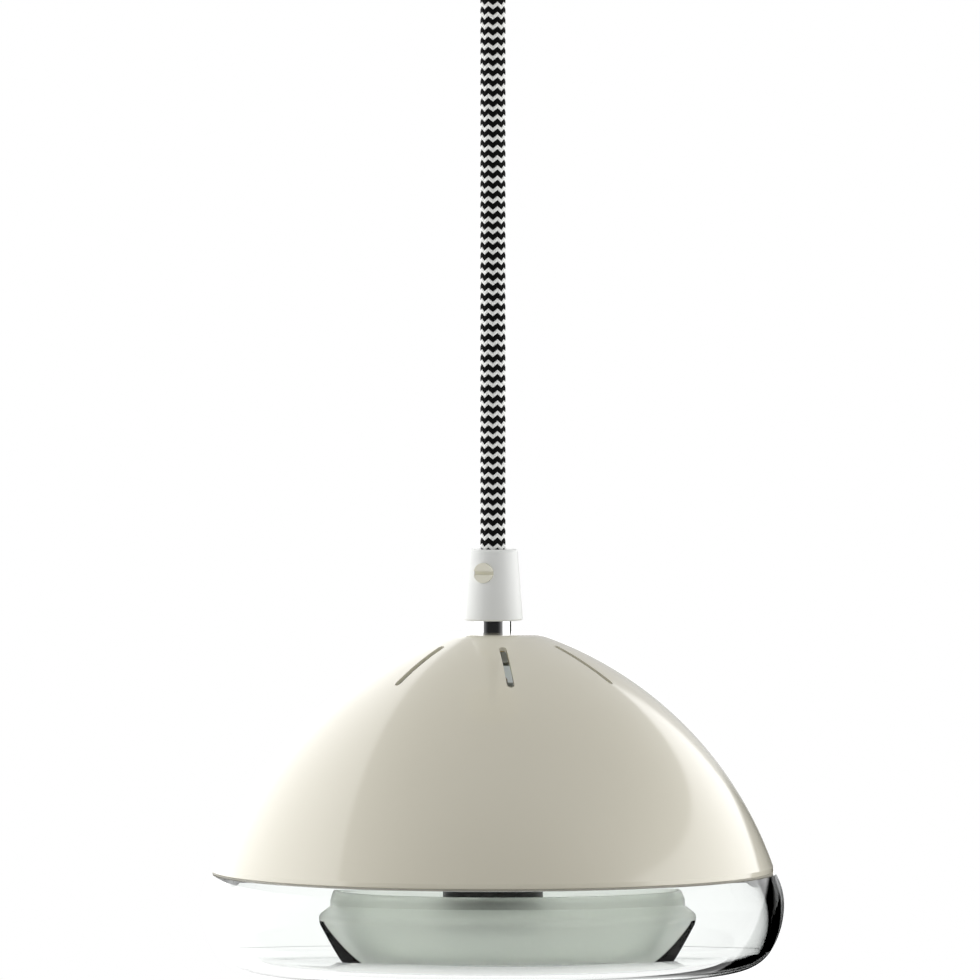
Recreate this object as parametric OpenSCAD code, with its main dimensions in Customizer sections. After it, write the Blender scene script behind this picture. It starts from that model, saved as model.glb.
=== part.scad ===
// Pendant lamp: a spun metal dome over a thick clear glass bowl, with a satin glass dish inside the bowl.
// It hangs on a braided cord from a small ceiling canopy, and is lit by a capsule bulb under the crown.
// Z is up. The origin is the centre of the ceiling plate's top face. All sizes are millimetres.

/* [Cord] */
// Diameter of the braided cord
cord_d = 7; // [5:0.5:9]
// Bare cord between the canopy grip and the lamp grip
cord_drop = 160; // [100:5:400]
// Clearance around the cord inside a grip or a nipple
cord_gap = 0.4; // [0.2:0.1:0.8]
// Diameter of one insulated wire
wire_d = 1.6; // [1:0.1:2]

/* [Ceiling plate] */
// Width of the plate
plate_w = 22; // [18:1:26]
// Thickness of the plate and of its tongue
plate_t = 1.5; // [1:0.1:2]
// Space between the plate's corners and the canopy
plate_gap = 1.2; // [0.5:0.1:3]
// Distance between the two screw slots
screw_spacing = 60; // [50:1:62]
// Width of a screw slot
screw_slot_w = 4.5; // [4:0.1:5.5]
// Length of a screw slot, end to end
screw_slot_l = 9; // [7:0.5:10]
// Height of the cord clamp
clamp_h = 6; // [4:0.5:7]
// Thickness of the cord clamp
clamp_t = 1.2; // [1:0.1:1.6]
// Distance of the clamp screws from the middle
clamp_screw_out = 8; // [7.6:0.1:8.4]
// Diameter of the small screws
small_screw_d = 2.5; // [2:0.1:3]

/* [Terminal block] */
// Distance of the block's middle from the axis
block_out = 16.5; // [15:0.5:18]
// Width of the block across its poles
block_w = 9; // [8:0.5:10]
// Length of the block
block_l = 24; // [22:0.5:26]
// Height of the block
block_h = 11; // [9:0.5:13]
// Distance between two poles
pole_pitch = 8; // [7:0.5:8.5]

/* [Canopy] */
// Diameter of the canopy
canopy_d = 84; // [82:1:110]
// Height of the canopy
canopy_h = 26; // [25:1:40]
// Radius of the canopy's lower edge
canopy_edge_r = 12; // [4:1:16]
// How far the canopy slides down the cord when it is opened
canopy_travel = 28; // [20:1:40]

/* [Grip and nipple] */
// Height of a nylon cord grip
grip_h = 19.5; // [17:0.5:24]
// Diameter of a grip at its cord end
grip_cord_end_d = 13.7; // [12.5:0.1:16]
// Diameter of a grip at its nipple end
grip_nipple_end_d = 16.4; // [14.5:0.1:20]
// Rounding of a grip's cord end
grip_edge_r = 0.8; // [0.3:0.1:1.5]
// Diameter of the clamping screw
grip_screw_d = 5.5; // [4:0.1:6]
// Distance of the clamping screw from the grip's cord end
grip_screw_down = 6.3; // [5:0.1:7]
// How far the clamping screw stands proud
grip_screw_proud = 0.3; // [0:0.1:1]
// Direction of the clamping screw, from the front towards the left
grip_screw_turn = 21.5; // [-180:0.5:180]
// Wall of a threaded nipple
nipple_wall = 1.1; // [0.8:0.1:1.5]
// Length of nipple held in a grip
nipple_in_grip = 9; // [7:0.5:11]
// Bare nipple between the grip and the dome
nipple_show = 3.6; // [2:0.1:8]
// How far a nipple reaches past its nut
nipple_past = 1; // [0.5:0.1:2]
// Width of a nut across its flats
nut_af = 14; // [13:0.5:16]
// Height of a nut
nut_h = 3; // [2:0.5:4]

/* [Dome] */
// Diameter of the dome at its rim
dome_d = 154; // [140:1:175]
// Height of the dome
dome_h = 65.3; // [60:0.1:80]
// Thickness of the spun sheet
sheet_t = 1; // [0.7:0.1:1.3]
// Radius of the shoulder around the flat crown
crown_arc_r = 17.4; // [10:0.1:25]
// Slope of the dome where the shoulder meets the side, in degrees
crown_turn = 20; // [15:1:25]
// Height of the upright lip
lip_h = 1.4; // [0.5:0.1:3]
// Height of the folded hem inside the rim
hem_h = 2.5; // [1.5:0.1:4]
// Number of vent slots
vent_count = 7; // [5:1:9]
// Distance of a vent slot's inner end from the axis
vent_in = 19.5; // [17:0.5:22]
// Distance of a vent slot's outer end from the axis
vent_out = 38; // [30:0.5:45]
// Width of a vent slot
vent_w = 2; // [1.5:0.1:3]
// Turn of the first vent slot from the front towards the right
vent_turn = 7.5; // [0:0.5:50]

/* [Glass bowl] */
// How far the bowl bulges past the rim
bowl_bulge = 3; // [2:0.1:6]
// Depth of the bowl under the rim
bowl_depth = 27.2; // [24:0.1:34]
// Depth of the widest place under the rim
bulge_depth = 9.2; // [7:0.1:11]
// Radius of the bowl's lower corner
bowl_corner_r = 11.5; // [9:0.1:14]
// Slope of the side where the lower corner starts, in degrees
bowl_side_turn = 31; // [25:1:40]
// Wall of the bowl
bowl_wall = 3.2; // [2.5:0.1:4]
// Extra wall of the bowl from its bulge up to its neck
wall_gain = 1.4; // [0:0.1:2]
// How far the bowl's shoulder laps past the rim
shoulder_lap = 0.7; // [0.3:0.1:1.5]
// Height of the bowl's neck above the rim
neck_h = 8; // [7:0.5:12]
// Space between the neck and the folded hem
neck_gap = 2; // [1:0.1:3]
// Thickness of the gasket under the rim
gasket_t = 0.5; // [0.3:0.1:1.5]
// Width of the gasket
gasket_w = 2.4; // [1.5:0.1:3]

/* [Satin dish] */
// Diameter of the dish's upright neck
dish_d = 97; // [85:1:105]
// Diameter of the dish's base
dish_base_d = 92.6; // [80:0.2:94]
// Diameter of the flat floor inside the dish
dish_floor_d = 77.2; // [64:0.2:84]
// Height of the dish
dish_h = 21.9; // [18:0.1:22.5]
// Wall of the dish
dish_wall = 3; // [2.5:0.1:4]
// How far the bead stands out from the neck
dish_bead_out = 3.1; // [2:0.1:4]
// Radius of the bead
dish_bead_r = 2; // [1.6:0.1:3]
// Height of the bead's middle above the base
dish_bead_h = 14.1; // [12:0.1:15]
// Height above the base at which the dish's side starts to turn in
dish_side_h = 8.6; // [7:0.1:10]
// How far the loose dish has slid to the right in the bowl
dish_shift = 4; // [0:0.5:6]

/* [Gallery and clips] */
// How far the gallery's hub reaches past the bracket's corners
hub_lap = 0.8; // [0.4:0.1:1.2]
// Number of arms
arm_count = 3; // [3:1:4]
// Width of an arm
arm_w = 12; // [10:0.5:14]
// Thickness of the gallery, the socket bracket and the washer
strip_t = 1; // [0.8:0.1:1.2]
// Space between an arm's upright end and the neck
arm_clear = 4; // [3.5:0.1:5]
// Length of an arm's upright end
arm_tab_l = 12.5; // [11:0.5:14]
// Width of a spring clip
clip_w = 10; // [8:0.5:10]
// Thickness of a spring clip
clip_t = 0.5; // [0.3:0.1:0.7]
// Space between a spring clip and the neck
clip_gap = 0.3; // [0.3:0.05:0.5]
// Diameter of a rivet
rivet_d = 2.4; // [2:0.1:3]
// Diameter of the crown washer
washer_d = 17; // [16:0.5:20]
// Thickness of the earth lug
lug_t = 0.8; // [0.5:0.1:1]
// Width of the earth lug's tail
tail_w = 4; // [3:0.5:5]
// Length of the earth lug's tail, and of its bent end
tail_l = 3; // [2:0.5:4]

/* [Socket and bulb] */
// Space between the lock nut's corners and the bracket's legs
leg_gap = 0.9; // [0.6:0.1:1.5]
// Width of the socket bracket
bracket_w = 14; // [13:0.5:15]
// Length of a bracket foot
foot_l = 14; // [13.5:0.5:16]
// Room for the wires between the nipple and the socket
wire_room = 5.2; // [4:0.1:8]
// Diameter of the ceramic socket
socket_d = 19; // [18:0.5:20]
// Height of the ceramic socket
socket_h = 18; // [16:0.5:20]
// Thickness of the socket's ears
ear_t = 3.5; // [3:0.5:5]
// Diameter of the black skirt around the socket and the bulb
skirt_d = 27.4; // [26:0.1:28]
// Wall of the skirt
skirt_t = 1.2; // [0.8:0.1:1.4]
// How far the skirt reaches below the dome's rim
skirt_drop = 9.5; // [8:0.5:11]
// Depth of the recess in the socket's mouth
mouth_depth = 3.5; // [3:0.1:5]
// Distance between the bulb's two pins
pin_pitch = 9; // [8.5:0.1:9.5]
// Length of the bulb's pins
pin_l = 6.5; // [5:0.1:7]
// Diameter of the bulb's glass
bulb_d = 13; // [11:0.5:14]
// Length of the bulb below the socket
bulb_l = 31.3; // [28:0.1:34]
// Wall of the bulb's glass
bulb_wall = 1; // [0.8:0.1:1.2]

/* [Hidden] */
$fn = 96;
// Radial clearance of a shank in its hole
fit = 0.05;
// Overshoot of a cut past a face
over = 1;
arc_steps = 14;

cord_r = cord_d / 2;
bore_r = cord_r + cord_gap;
nipple_r = bore_r + nipple_wall;
dome_r = dome_d / 2;
canopy_r = canopy_d / 2;
small_r = small_screw_d / 2;
wire_r = wire_d / 2;

// Heights down the lamp, from the ceiling
canopy_grip_end_z = -canopy_h - grip_h;
swing_gap = 2;
swing_z = canopy_grip_end_z - canopy_travel - swing_gap;
grip_top_z = canopy_grip_end_z - cord_drop;
grip_end_z = grip_top_z - grip_h;
crown_z = grip_end_z - nipple_show;
rim_z = crown_z - dome_h;

// Heights under the crown, above the rim
washer_top = dome_h - sheet_t;
hub_top = washer_top - strip_t;
bracket_top = hub_top - strip_t;
lug_top = bracket_top - strip_t;
nut_top = lug_top - lug_t;
nipple_end = nut_top - nut_h - nipple_past;
foot_end = nipple_end - wire_room;
socket_end = foot_end - socket_h;

// Heights above the canopy's floor
canopy_nut_top = -canopy_h + sheet_t + nut_h;
canopy_nipple_top = canopy_nut_top + nipple_past;

// Ceiling plate: the tongue hangs beside the cord and stops above the nipple
clamp_squeeze_gap = 0.2;
tongue_x = cord_r + clamp_squeeze_gap;
tongue_gap = 3;
tongue_end = canopy_nipple_top + tongue_gap;
plate_l = 2 * sqrt(pow(canopy_r - sheet_t - plate_gap, 2) - pow(plate_w / 2, 2));
clamp_edge = 1;
clamp_z = tongue_end + clamp_h / 2 + clamp_edge;
clamp_in_r = tongue_x;
clamp_out_r = clamp_in_r + clamp_t;
clamp_margin = 1.3;
clamp_reach = clamp_screw_out + small_r + clamp_margin;
cord_past_clamp = 2.5;
cord_top_z = clamp_z + clamp_h / 2 + cord_past_clamp;

// Terminal block: height of its wire holes, and how far a pole's screws lie from its middle
block_wire_z = -plate_t - 4;
pole_screw_out = 2.4;
pole_screw_l = 2.5;

// Dome outline: a flat crown, a shoulder arc, a side arc that ends at the lip, and the upright lip
crown_flat_r = washer_d / 2 + 0.5;
shoulder_centre = [crown_flat_r, dome_h - crown_arc_r];
crown_dir = [sin(crown_turn), cos(crown_turn)];
side_start = shoulder_centre + crown_arc_r * crown_dir;
side_chord = [dome_r, lip_h] - side_start;
side_arc_r = -(side_chord * side_chord) / (2 * side_chord * crown_dir);
side_centre = side_start - side_arc_r * crown_dir;

// Bowl outline: an upper arc from the shoulder, a side arc below the bulge, and a lower corner arc
bowl_r = dome_r + bowl_bulge;
neck_r = dome_r - 2 * sheet_t - neck_gap;
neck_in_r = neck_r - bowl_wall;
shoulder_step = [bowl_bulge - shoulder_lap, bulge_depth - gasket_t];
upper_arc_r = (shoulder_step * shoulder_step) / (2 * shoulder_step[0]);
side_drop = bowl_depth - bulge_depth - bowl_corner_r * (1 - sin(bowl_side_turn));
bowl_side_r = side_drop / sin(bowl_side_turn);
upper_centre = [bowl_r - upper_arc_r, -bulge_depth];
lower_centre = [bowl_r - bowl_side_r, -bulge_depth];
corner_centre = lower_centre + (bowl_side_r - bowl_corner_r) * [cos(bowl_side_turn), -sin(bowl_side_turn)];
shoulder_angle = asin(shoulder_step[1] / upper_arc_r);
neck_foot_angle = acos((neck_in_r - upper_centre[0]) / (upper_arc_r - bowl_wall));
bowl_floor = -(bowl_depth - bowl_wall);
glass_edge_r = 1;
gain_from = -18;
gain_to = -6;

// Dish outline, above its base
dish_r = dish_d / 2;
dish_base_r = dish_base_d / 2;
dish_edge_r = dish_wall / 2;
dish_corner_r = 3;
dish_side_lean = 0.3;
dish_side_r = dish_r + dish_bead_out - dish_side_lean;
dish_neck_foot = 1.5;
dish_floor_edge = [1.2, 1];
bead_x = dish_r + dish_bead_out - dish_bead_r;
bead_neck_angle = acos((dish_r - bead_x) / dish_bead_r);

// Gallery: where the arms end and the spring clips press
tab_r = neck_in_r - arm_clear;
tab_top = neck_h + 7;
knee_r = sqrt(pow(neck_in_r - clip_gap, 2) - pow(clip_w / 2, 2));
knee_z = 5.5;
clip_top = tab_top - 1;
rivet_z = tab_top - 3.5;
knee_rise = 1;
knee_step = 0.4;
leaf_end_step = 0.8;
leaf_end_drop = 3.5;
rivet_head_t = 0.8;
rivet_head_r = 0.85 * rivet_d;
first_arm = 90;
nut_corner_r = nut_af / 2 / cos(30);
leg_out = nut_corner_r + leg_gap;
hub_r = norm([leg_out + strip_t, bracket_w / 2]) + hub_lap;

// Socket ears, skirt and screws
ear_screw_out = leg_out + strip_t + foot_l / 2;
ear_reach = leg_out + strip_t + foot_l;
ear_w = 10;
ear_screw_r = 1.5;
ear_nut_r = 3.2;
ear_nut_h = 2.4;
ear_head_r = 2.8;
ear_head_h = 1.8;
screw_past = 0.4;
skirt_r = skirt_d / 2;
skirt_top = foot_end - ear_t;
skirt_gap = 1;

// Bulb: its flat foot in the socket's mouth, its hairpin pins and its neck above the envelope
foot_w = 12;
foot_t = 4.6;
foot_clear = 0.4;
mouth_w = foot_w + 2 * foot_clear;
mouth_t = foot_t + 2 * foot_clear;
pin_wire_r = 0.4;
pin_loop_w = 2;
pin_clear = 0.4;
pin_hole_t = 2 * (pin_wire_r + pin_clear);
pin_hole_w = pin_loop_w + pin_hole_t;
bulb_neck_l = 7;
bulb_shoulder_r = 2;
wire_entry_x = 3.2;
wire_entry_depth = 3;

// Rings of the cord, from 0 at its upper end to 1 at its lower end
upper_stations = [0, 0.25, 0.5, 0.75, 1];
lower_stations = [0, 0.1, 0.2, 0.3, 0.4, 0.5, 0.6, 0.7, 0.8, 0.9, 1];
cord_sides = 12;
wire_sides = 8;

cream = [0.87, 0.86, 0.79];
nylon = [0.93, 0.94, 0.92];
screw_cream = [0.9, 0.89, 0.78];
steel = [0.72, 0.73, 0.74];
chrome = [0.82, 0.83, 0.85];
brass = [0.8, 0.66, 0.34];
braid = [0.25, 0.25, 0.25];

// Points of an arc about a centre, from one angle to another
function arc(centre, r, from, to) =
    [for (i = [0:arc_steps]) let (a = from + (to - from) * i / arc_steps) centre + r * [cos(a), sin(a)]];

// Unit vector along v
function unit(v) = v / norm(v);

// Left-hand normal of a path at point i
function path_normal(path, i) =
    let (d = unit(path[min(i + 1, len(path) - 1)] - path[max(i - 1, 0)])) [-d[1], d[0]];

// Closed outline of a bent strip of thickness t along a path
function strip(path, t) = concat(
    [for (i = [0:len(path) - 1]) path[i] + t / 2 * path_normal(path, i)],
    [for (i = [len(path) - 1:-1:0]) path[i] - t / 2 * path_normal(path, i)]);

// Direction of a path in space at point i
function heading(path, i) = unit(path[min(i + 1, len(path) - 1)] - path[max(i - 1, 0)]);

// One ring of a tube around point i of a path
function ring(path, i, r, sides) =
    let (t = heading(path, i), u = unit(cross([0.13, 1, 0.07], t)), v = cross(t, u))
    [for (k = [0:sides - 1]) path[i] + r * (cos(360 * k / sides) * u + sin(360 * k / sides) * v)];

// Round tube along a path in space
module tube(path, r, sides) {
    last = len(path) - 1;
    polyhedron(
        points = [for (i = [0:last]) each ring(path, i, r, sides)],
        faces = concat(
            [[for (k = [0:sides - 1]) k]],
            [[for (k = [sides - 1:-1:0]) last * sides + k]],
            [for (i = [0:last - 1], k = [0:sides - 1])
                let (a = i * sides + k, b = i * sides + (k + 1) % sides)
                each [[a, a + sides, b + sides], [a, b + sides, b]]]));
}

// Bore along Z between two heights
module bore(r, from, to) {
    translate([0, 0, from]) cylinder(r = r, h = to - from);
}

// Flat slot with round ends, centred, along X
module slot_2d(length, width) {
    square([length - width, width], center = true);
    for (side = [-1, 1]) translate([side * (length - width) / 2, 0]) circle(d = width);
}

// Half round of radius r with straight sides that reach to x
module u_shape_2d(r, x) {
    circle(r = r);
    translate([0, -r]) square([x, 2 * r]);
}

// Round head with a screwdriver slot across its top
module slotted_head(r, h) {
    difference() {
        cylinder(r = r, h = h);
        translate([0, 0, h]) cube([2 * r + over, 0.3 * r, h], center = true);
    }
}

// Screw along Z: a slotted head above z = 0 and a shank below it
module slotted_screw(shank_r, shank_l, head_r, head_h) {
    slotted_head(head_r, head_h);
    translate([0, 0, -shank_l]) cylinder(r = shank_r, h = shank_l);
}

// Threaded tube between two heights
module threaded_tube(from, to) {
    difference() {
        bore(nipple_r, from, to);
        bore(bore_r, from - over, to + over);
    }
}

// Hexagon nut on a nipple, with its top at a height
module nipple_nut(top) {
    difference() {
        translate([0, 0, top - nut_h]) cylinder(r = nut_corner_r, h = nut_h, $fn = 6);
        bore(nipple_r + fit, top - nut_h - over, top + over);
    }
}

// Radius of a grip at a height above its nipple end
function grip_r(z) = (grip_nipple_end_d + (grip_cord_end_d - grip_nipple_end_d) * z / grip_h) / 2;

// Nylon cord grip standing on its nipple end
module grip_body() {
    screw_z = grip_h - grip_screw_down;
    difference() {
        rotate_extrude() polygon(concat(
            [[0, 0], [grip_nipple_end_d / 2 - 0.4, 0], [grip_nipple_end_d / 2, 0.4]],
            arc([grip_cord_end_d / 2 - grip_edge_r, grip_h - grip_edge_r], grip_edge_r, 0, 90),
            [[0, grip_h]]));
        bore(bore_r, -over, grip_h + over);
        bore(nipple_r + fit, -over, nipple_in_grip);
        translate([0, 0, screw_z]) rotate([0, 90, 0])
            cylinder(d = grip_screw_d + 2 * fit, h = grip_nipple_end_d);
    }
}

// Clamping screw of a grip, along +X, from the cord to just proud of the grip
module grip_screw_body() {
    screw_z = grip_h - grip_screw_down;
    inner = cord_r + 0.1;
    outer = grip_r(screw_z) + grip_screw_proud;
    groove = grip_screw_d * 0.18;
    translate([0, 0, screw_z]) rotate([0, 90, 0]) difference() {
        translate([0, 0, inner]) cylinder(d = grip_screw_d, h = outer - inner);
        translate([0, 0, outer]) cube([groove, grip_screw_d + over, 2 * groove], center = true);
    }
}

// Places a grip, or its screw, at the lamp
module at_lamp_grip() {
    translate([0, 0, grip_end_z]) rotate([0, 0, -90 - grip_screw_turn]) children();
}

// Places a grip, or its screw, upside down under the canopy
module at_canopy_grip() {
    translate([0, 0, -canopy_h]) rotate([0, 0, -90 - grip_screw_turn]) mirror([0, 0, 1]) children();
}

// Places a piece whose heights are measured from the dome's rim
module at_rim() {
    translate([0, 0, rim_z]) children();
}

// Turned copies around the axis
module around(count, first) {
    for (i = [0:count - 1]) rotate([0, 0, first + i * 360 / count]) children();
}

// Flat steel plate with two screw slots and a tongue for the cord clamp
module ceiling_plate() {
    color(steel) difference() {
        union() {
            translate([-plate_l / 2, -plate_w / 2, -plate_t]) cube([plate_l, plate_w, plate_t]);
            translate([tongue_x, -plate_w / 2, tongue_end]) cube([plate_t, plate_w, -tongue_end]);
        }
        for (side = [-1, 1]) translate([side * screw_spacing / 2, 0, -plate_t - over])
            linear_extrude(plate_t + 2 * over) slot_2d(screw_slot_l, screw_slot_w);
        for (side = [-1, 1]) translate([tongue_x - over, side * clamp_screw_out, clamp_z])
            rotate([0, 90, 0]) cylinder(r = small_r + fit, h = plate_t + 2 * over);
        for (side = [-1, 1]) translate([-block_out, side * pole_pitch / 2, -plate_t - over])
            cylinder(r = small_r + fit, h = plate_t + 2 * over);
    }
}

// Saddle that presses the cord against the tongue
module cord_clamp() {
    color(steel) translate([0, 0, clamp_z - clamp_h / 2]) difference() {
        linear_extrude(clamp_h) difference() {
            union() {
                u_shape_2d(clamp_out_r, tongue_x);
                translate([tongue_x - clamp_t, -clamp_reach]) square([clamp_t, 2 * clamp_reach]);
            }
            u_shape_2d(clamp_in_r, clamp_out_r + over);
        }
        for (side = [-1, 1]) translate([0, side * clamp_screw_out, clamp_h / 2])
            rotate([0, 90, 0]) cylinder(r = small_r + fit, h = 2 * tongue_x);
    }
}

module clamp_screws() {
    shank = clamp_t + plate_t + 1;
    color(steel) for (side = [-1, 1]) translate([tongue_x - clamp_t, side * clamp_screw_out, clamp_z])
        rotate([0, -90, 0]) slotted_screw(small_r, shank, small_r + 0.9, 1.4);
}

// Three-pole block with wire holes along X and a screw well above each wire end
module terminal_block() {
    color("white") difference() {
        translate([-block_out - block_w / 2, -block_l / 2, -plate_t - block_h])
            cube([block_w, block_l, block_h]);
        for (pole = [-1:1]) translate([-block_out, pole * pole_pitch, block_wire_z])
            rotate([0, 90, 0]) cylinder(r = wire_r + 0.2, h = block_w + over, center = true);
        for (pole = [-1:1], side = [-1, 1])
            translate([-block_out + side * pole_screw_out, pole * pole_pitch, 0])
            bore(small_r, -plate_t - block_h - over, block_wire_z);
        for (side = [-1, 1]) translate([-block_out, side * pole_pitch / 2, 0])
            bore(small_r + fit, -plate_t - block_h - over, 0);
    }
}

module terminal_screws() {
    color(brass) for (pole = [-1:1], side = [-1, 1])
        translate([-block_out + side * pole_screw_out, pole * pole_pitch, block_wire_z - wire_r - 0.1])
            mirror([0, 0, 1]) slotted_head(small_r - fit, pole_screw_l);
}

module block_screws() {
    head_z = -plate_t - block_h;
    color(steel) for (side = [-1, 1]) translate([-block_out, side * pole_pitch / 2, head_z])
        mirror([0, 0, 1]) slotted_screw(small_r, block_h + plate_t - 0.2, small_r + 0.6, 1);
}

// Three wires from the cord's upper end to the block
module ceiling_wires() {
    block_face = -block_out + block_w / 2;
    color("peru") for (pole = [-1:1]) tube([
        [-1.2 + abs(pole) * 1.2, pole * 1.5, cord_top_z],
        [-1.2 + abs(pole) * 1.2, pole * 1.5, cord_top_z + 0.5],
        [-2.2, pole * 2, cord_top_z + 1.8],
        [-4, pole * 3.4, block_wire_z + 0.4],
        [-7, pole * 6, block_wire_z],
        [block_face + 2, pole * (pole_pitch - 0.6), block_wire_z],
        [block_face + 0.6, pole * pole_pitch, block_wire_z],
        [block_face - 3, pole * pole_pitch, block_wire_z]], wire_r, wire_sides);
}

// Straight run of cord between two heights
module cord_run(from, to, stations) {
    color(braid) tube([for (s = stations) [0, 0, from + (to - from) * s]], cord_r, cord_sides);
}

module cord_top() {
    cord_run(cord_top_z, swing_z, upper_stations);
}

module cord() {
    cord_run(swing_z, rim_z + nipple_end, lower_stations);
}

// Spun cup with a round lower edge and a hole for its nipple
module canopy() {
    centre = [canopy_r - canopy_edge_r, canopy_edge_r - canopy_h];
    color(cream) difference() {
        rotate_extrude() polygon(concat(
            [[0, -canopy_h]],
            arc(centre, canopy_edge_r, -90, 0),
            [[canopy_r, 0], [canopy_r - sheet_t, 0]],
            arc(centre, canopy_edge_r - sheet_t, 0, -90),
            [[0, sheet_t - canopy_h]]));
        bore(nipple_r + fit, -canopy_h - over, -canopy_h + sheet_t + over);
    }
}

module canopy_nipple() {
    color(chrome) threaded_tube(-canopy_h - nipple_in_grip, canopy_nipple_top);
}

module canopy_nut() {
    color(steel) nipple_nut(canopy_nut_top);
}

module canopy_grip() {
    color(nylon) at_canopy_grip() grip_body();
}

module canopy_grip_screw() {
    color(screw_cream) at_canopy_grip() grip_screw_body();
}

module cord_grip() {
    color(nylon) at_lamp_grip() grip_body();
}

module cord_grip_screw() {
    color(screw_cream) at_lamp_grip() grip_screw_body();
}

module nipple() {
    color(chrome) threaded_tube(rim_z + nipple_end, grip_end_z + nipple_in_grip);
}

// Outline of the dome's skin from the crown to the lip, moved inwards by a distance
function skin(inset) = concat(
    arc(shoulder_centre, crown_arc_r - inset, 90, 90 - crown_turn),
    arc(side_centre, side_arc_r - inset, 90 - crown_turn,
        acos((dome_r - inset - side_centre[0]) / (side_arc_r - inset))));

// Spun dome: flat crown, vent slots, upright lip with its edge folded in
module dome() {
    inner = [for (p = skin(sheet_t)) if (p[1] > hem_h) p];
    color(cream) at_rim() difference() {
        rotate_extrude() polygon(concat(
            [[0, dome_h]],
            skin(0),
            [[dome_r, 0], [dome_r - 2 * sheet_t, 0], [dome_r - 2 * sheet_t, hem_h]],
            [for (i = [len(inner) - 1:-1:0]) inner[i]],
            [[0, dome_h - sheet_t]]));
        bore(nipple_r + fit, dome_h - sheet_t - over, dome_h + over);
        around(vent_count, vent_turn - 90) translate([(vent_in + vent_out) / 2, 0, dome_h / 2])
            linear_extrude(dome_h) slot_2d(vent_out - vent_in, vent_w);
    }
}

module crown_washer() {
    color(steel) at_rim() difference() {
        bore(washer_d / 2, washer_top - strip_t, washer_top);
        bore(nipple_r + fit, 0, dome_h);
    }
}

// Three-armed gallery: the arms slope down inside the dome and end upright inside the bowl's neck
module gallery() {
    hub_z = hub_top - strip_t / 2;
    arm = [[hub_r / 2, hub_z], [hub_r, hub_z], [tab_r - strip_t / 2, tab_top],
        [tab_r - strip_t / 2, tab_top - arm_tab_l]];
    color(steel) at_rim() difference() {
        union() {
            bore(hub_r, hub_top - strip_t, hub_top);
            around(arm_count, first_arm) rotate([90, 0, 0]) linear_extrude(arm_w, center = true)
                polygon(strip(arm, strip_t));
        }
        bore(nipple_r + fit, 0, dome_h);
        around(arm_count, first_arm) translate([tab_r - 2 * strip_t, 0, rivet_z])
            rotate([0, 90, 0]) cylinder(d = rivet_d + 2 * fit, h = 3 * strip_t);
    }
}

// Leaf springs that press outwards against the neck
module spring_clips() {
    back = tab_r + clip_t / 2;
    knee = knee_r - clip_t / 2;
    leaf = [[back, clip_top], [back, rivet_z - rivet_head_r], [knee - knee_step, knee_z + knee_rise],
        [knee, knee_z], [knee - knee_step, knee_z - knee_rise],
        [back + leaf_end_step, knee_z - leaf_end_drop]];
    color([0.6, 0.62, 0.66]) at_rim() around(arm_count, first_arm) difference() {
        rotate([90, 0, 0]) linear_extrude(clip_w, center = true) polygon(strip(leaf, clip_t));
        translate([tab_r - over, 0, rivet_z]) rotate([0, 90, 0])
            cylinder(d = rivet_d + 2 * fit, h = 3 * over);
    }
}

module clip_rivets() {
    grip_l = strip_t + clip_t;
    color(brass) at_rim() around(arm_count, first_arm) translate([tab_r - strip_t, 0, rivet_z])
        rotate([0, 90, 0]) {
            cylinder(d = rivet_d, h = grip_l);
            for (z = [-rivet_head_t, grip_l]) translate([0, 0, z])
                cylinder(r = rivet_head_r, h = rivet_head_t);
        }
}

// Bent strap under the gallery: two legs with feet that carry the socket
module socket_bracket() {
    color(steel) at_rim() difference() {
        union() {
            translate([-leg_out - strip_t, -bracket_w / 2, bracket_top - strip_t])
                cube([2 * (leg_out + strip_t), bracket_w, strip_t]);
            for (side = [0, 180]) rotate([0, 0, side]) translate([leg_out, 0, foot_end]) {
                translate([0, -bracket_w / 2, 0]) cube([strip_t, bracket_w, bracket_top - foot_end]);
                translate([0, -ear_w / 2, 0]) cube([foot_l + strip_t, ear_w, strip_t]);
            }
        }
        bore(nipple_r + fit, 0, dome_h);
        for (side = [-1, 1]) translate([side * ear_screw_out, 0, 0])
            bore(ear_screw_r + fit, foot_end - over, foot_end + 2 * over);
    }
}

// Ring lug under the lock nut, with a bent tail for the earth wire
module earth_lug() {
    ring_r = nut_af / 2;
    color(brass) at_rim() difference() {
        union() {
            bore(ring_r, lug_top - lug_t, lug_top);
            translate([-tail_w / 2, -ring_r - tail_l, lug_top - lug_t]) cube([tail_w, tail_l + 2, lug_t]);
            translate([-tail_w / 2, -ring_r - tail_l, lug_top - lug_t - tail_l])
                cube([tail_w, lug_t, tail_l + lug_t]);
        }
        bore(nipple_r + fit, 0, dome_h);
    }
}

module lock_nut() {
    color(steel) at_rim() nipple_nut(nut_top);
}

// Ceramic socket: a round body with two ears, a mouth for the bulb's foot and two pin holes
module socket() {
    color([0.94, 0.93, 0.9]) at_rim() difference() {
        union() {
            bore(socket_d / 2, socket_end, foot_end);
            translate([0, 0, foot_end - ear_t]) linear_extrude(ear_t) slot_2d(2 * ear_reach, ear_w);
        }
        translate([0, 0, socket_end - over]) linear_extrude(mouth_depth + over) slot_2d(mouth_w, mouth_t);
        for (side = [-1, 1]) translate([side * pin_pitch / 2, 0, socket_end])
            linear_extrude(mouth_depth + pin_l + 1) slot_2d(pin_hole_w, pin_hole_t);
        for (side = [-1, 1]) translate([side * ear_screw_out, 0, 0])
            bore(ear_screw_r + fit, foot_end - ear_t - over, foot_end + over);
        for (side = [-1, 1]) translate([side * wire_entry_x, 0, 0])
            bore(wire_r + 0.15, foot_end - wire_entry_depth, foot_end + over);
    }
}

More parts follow.
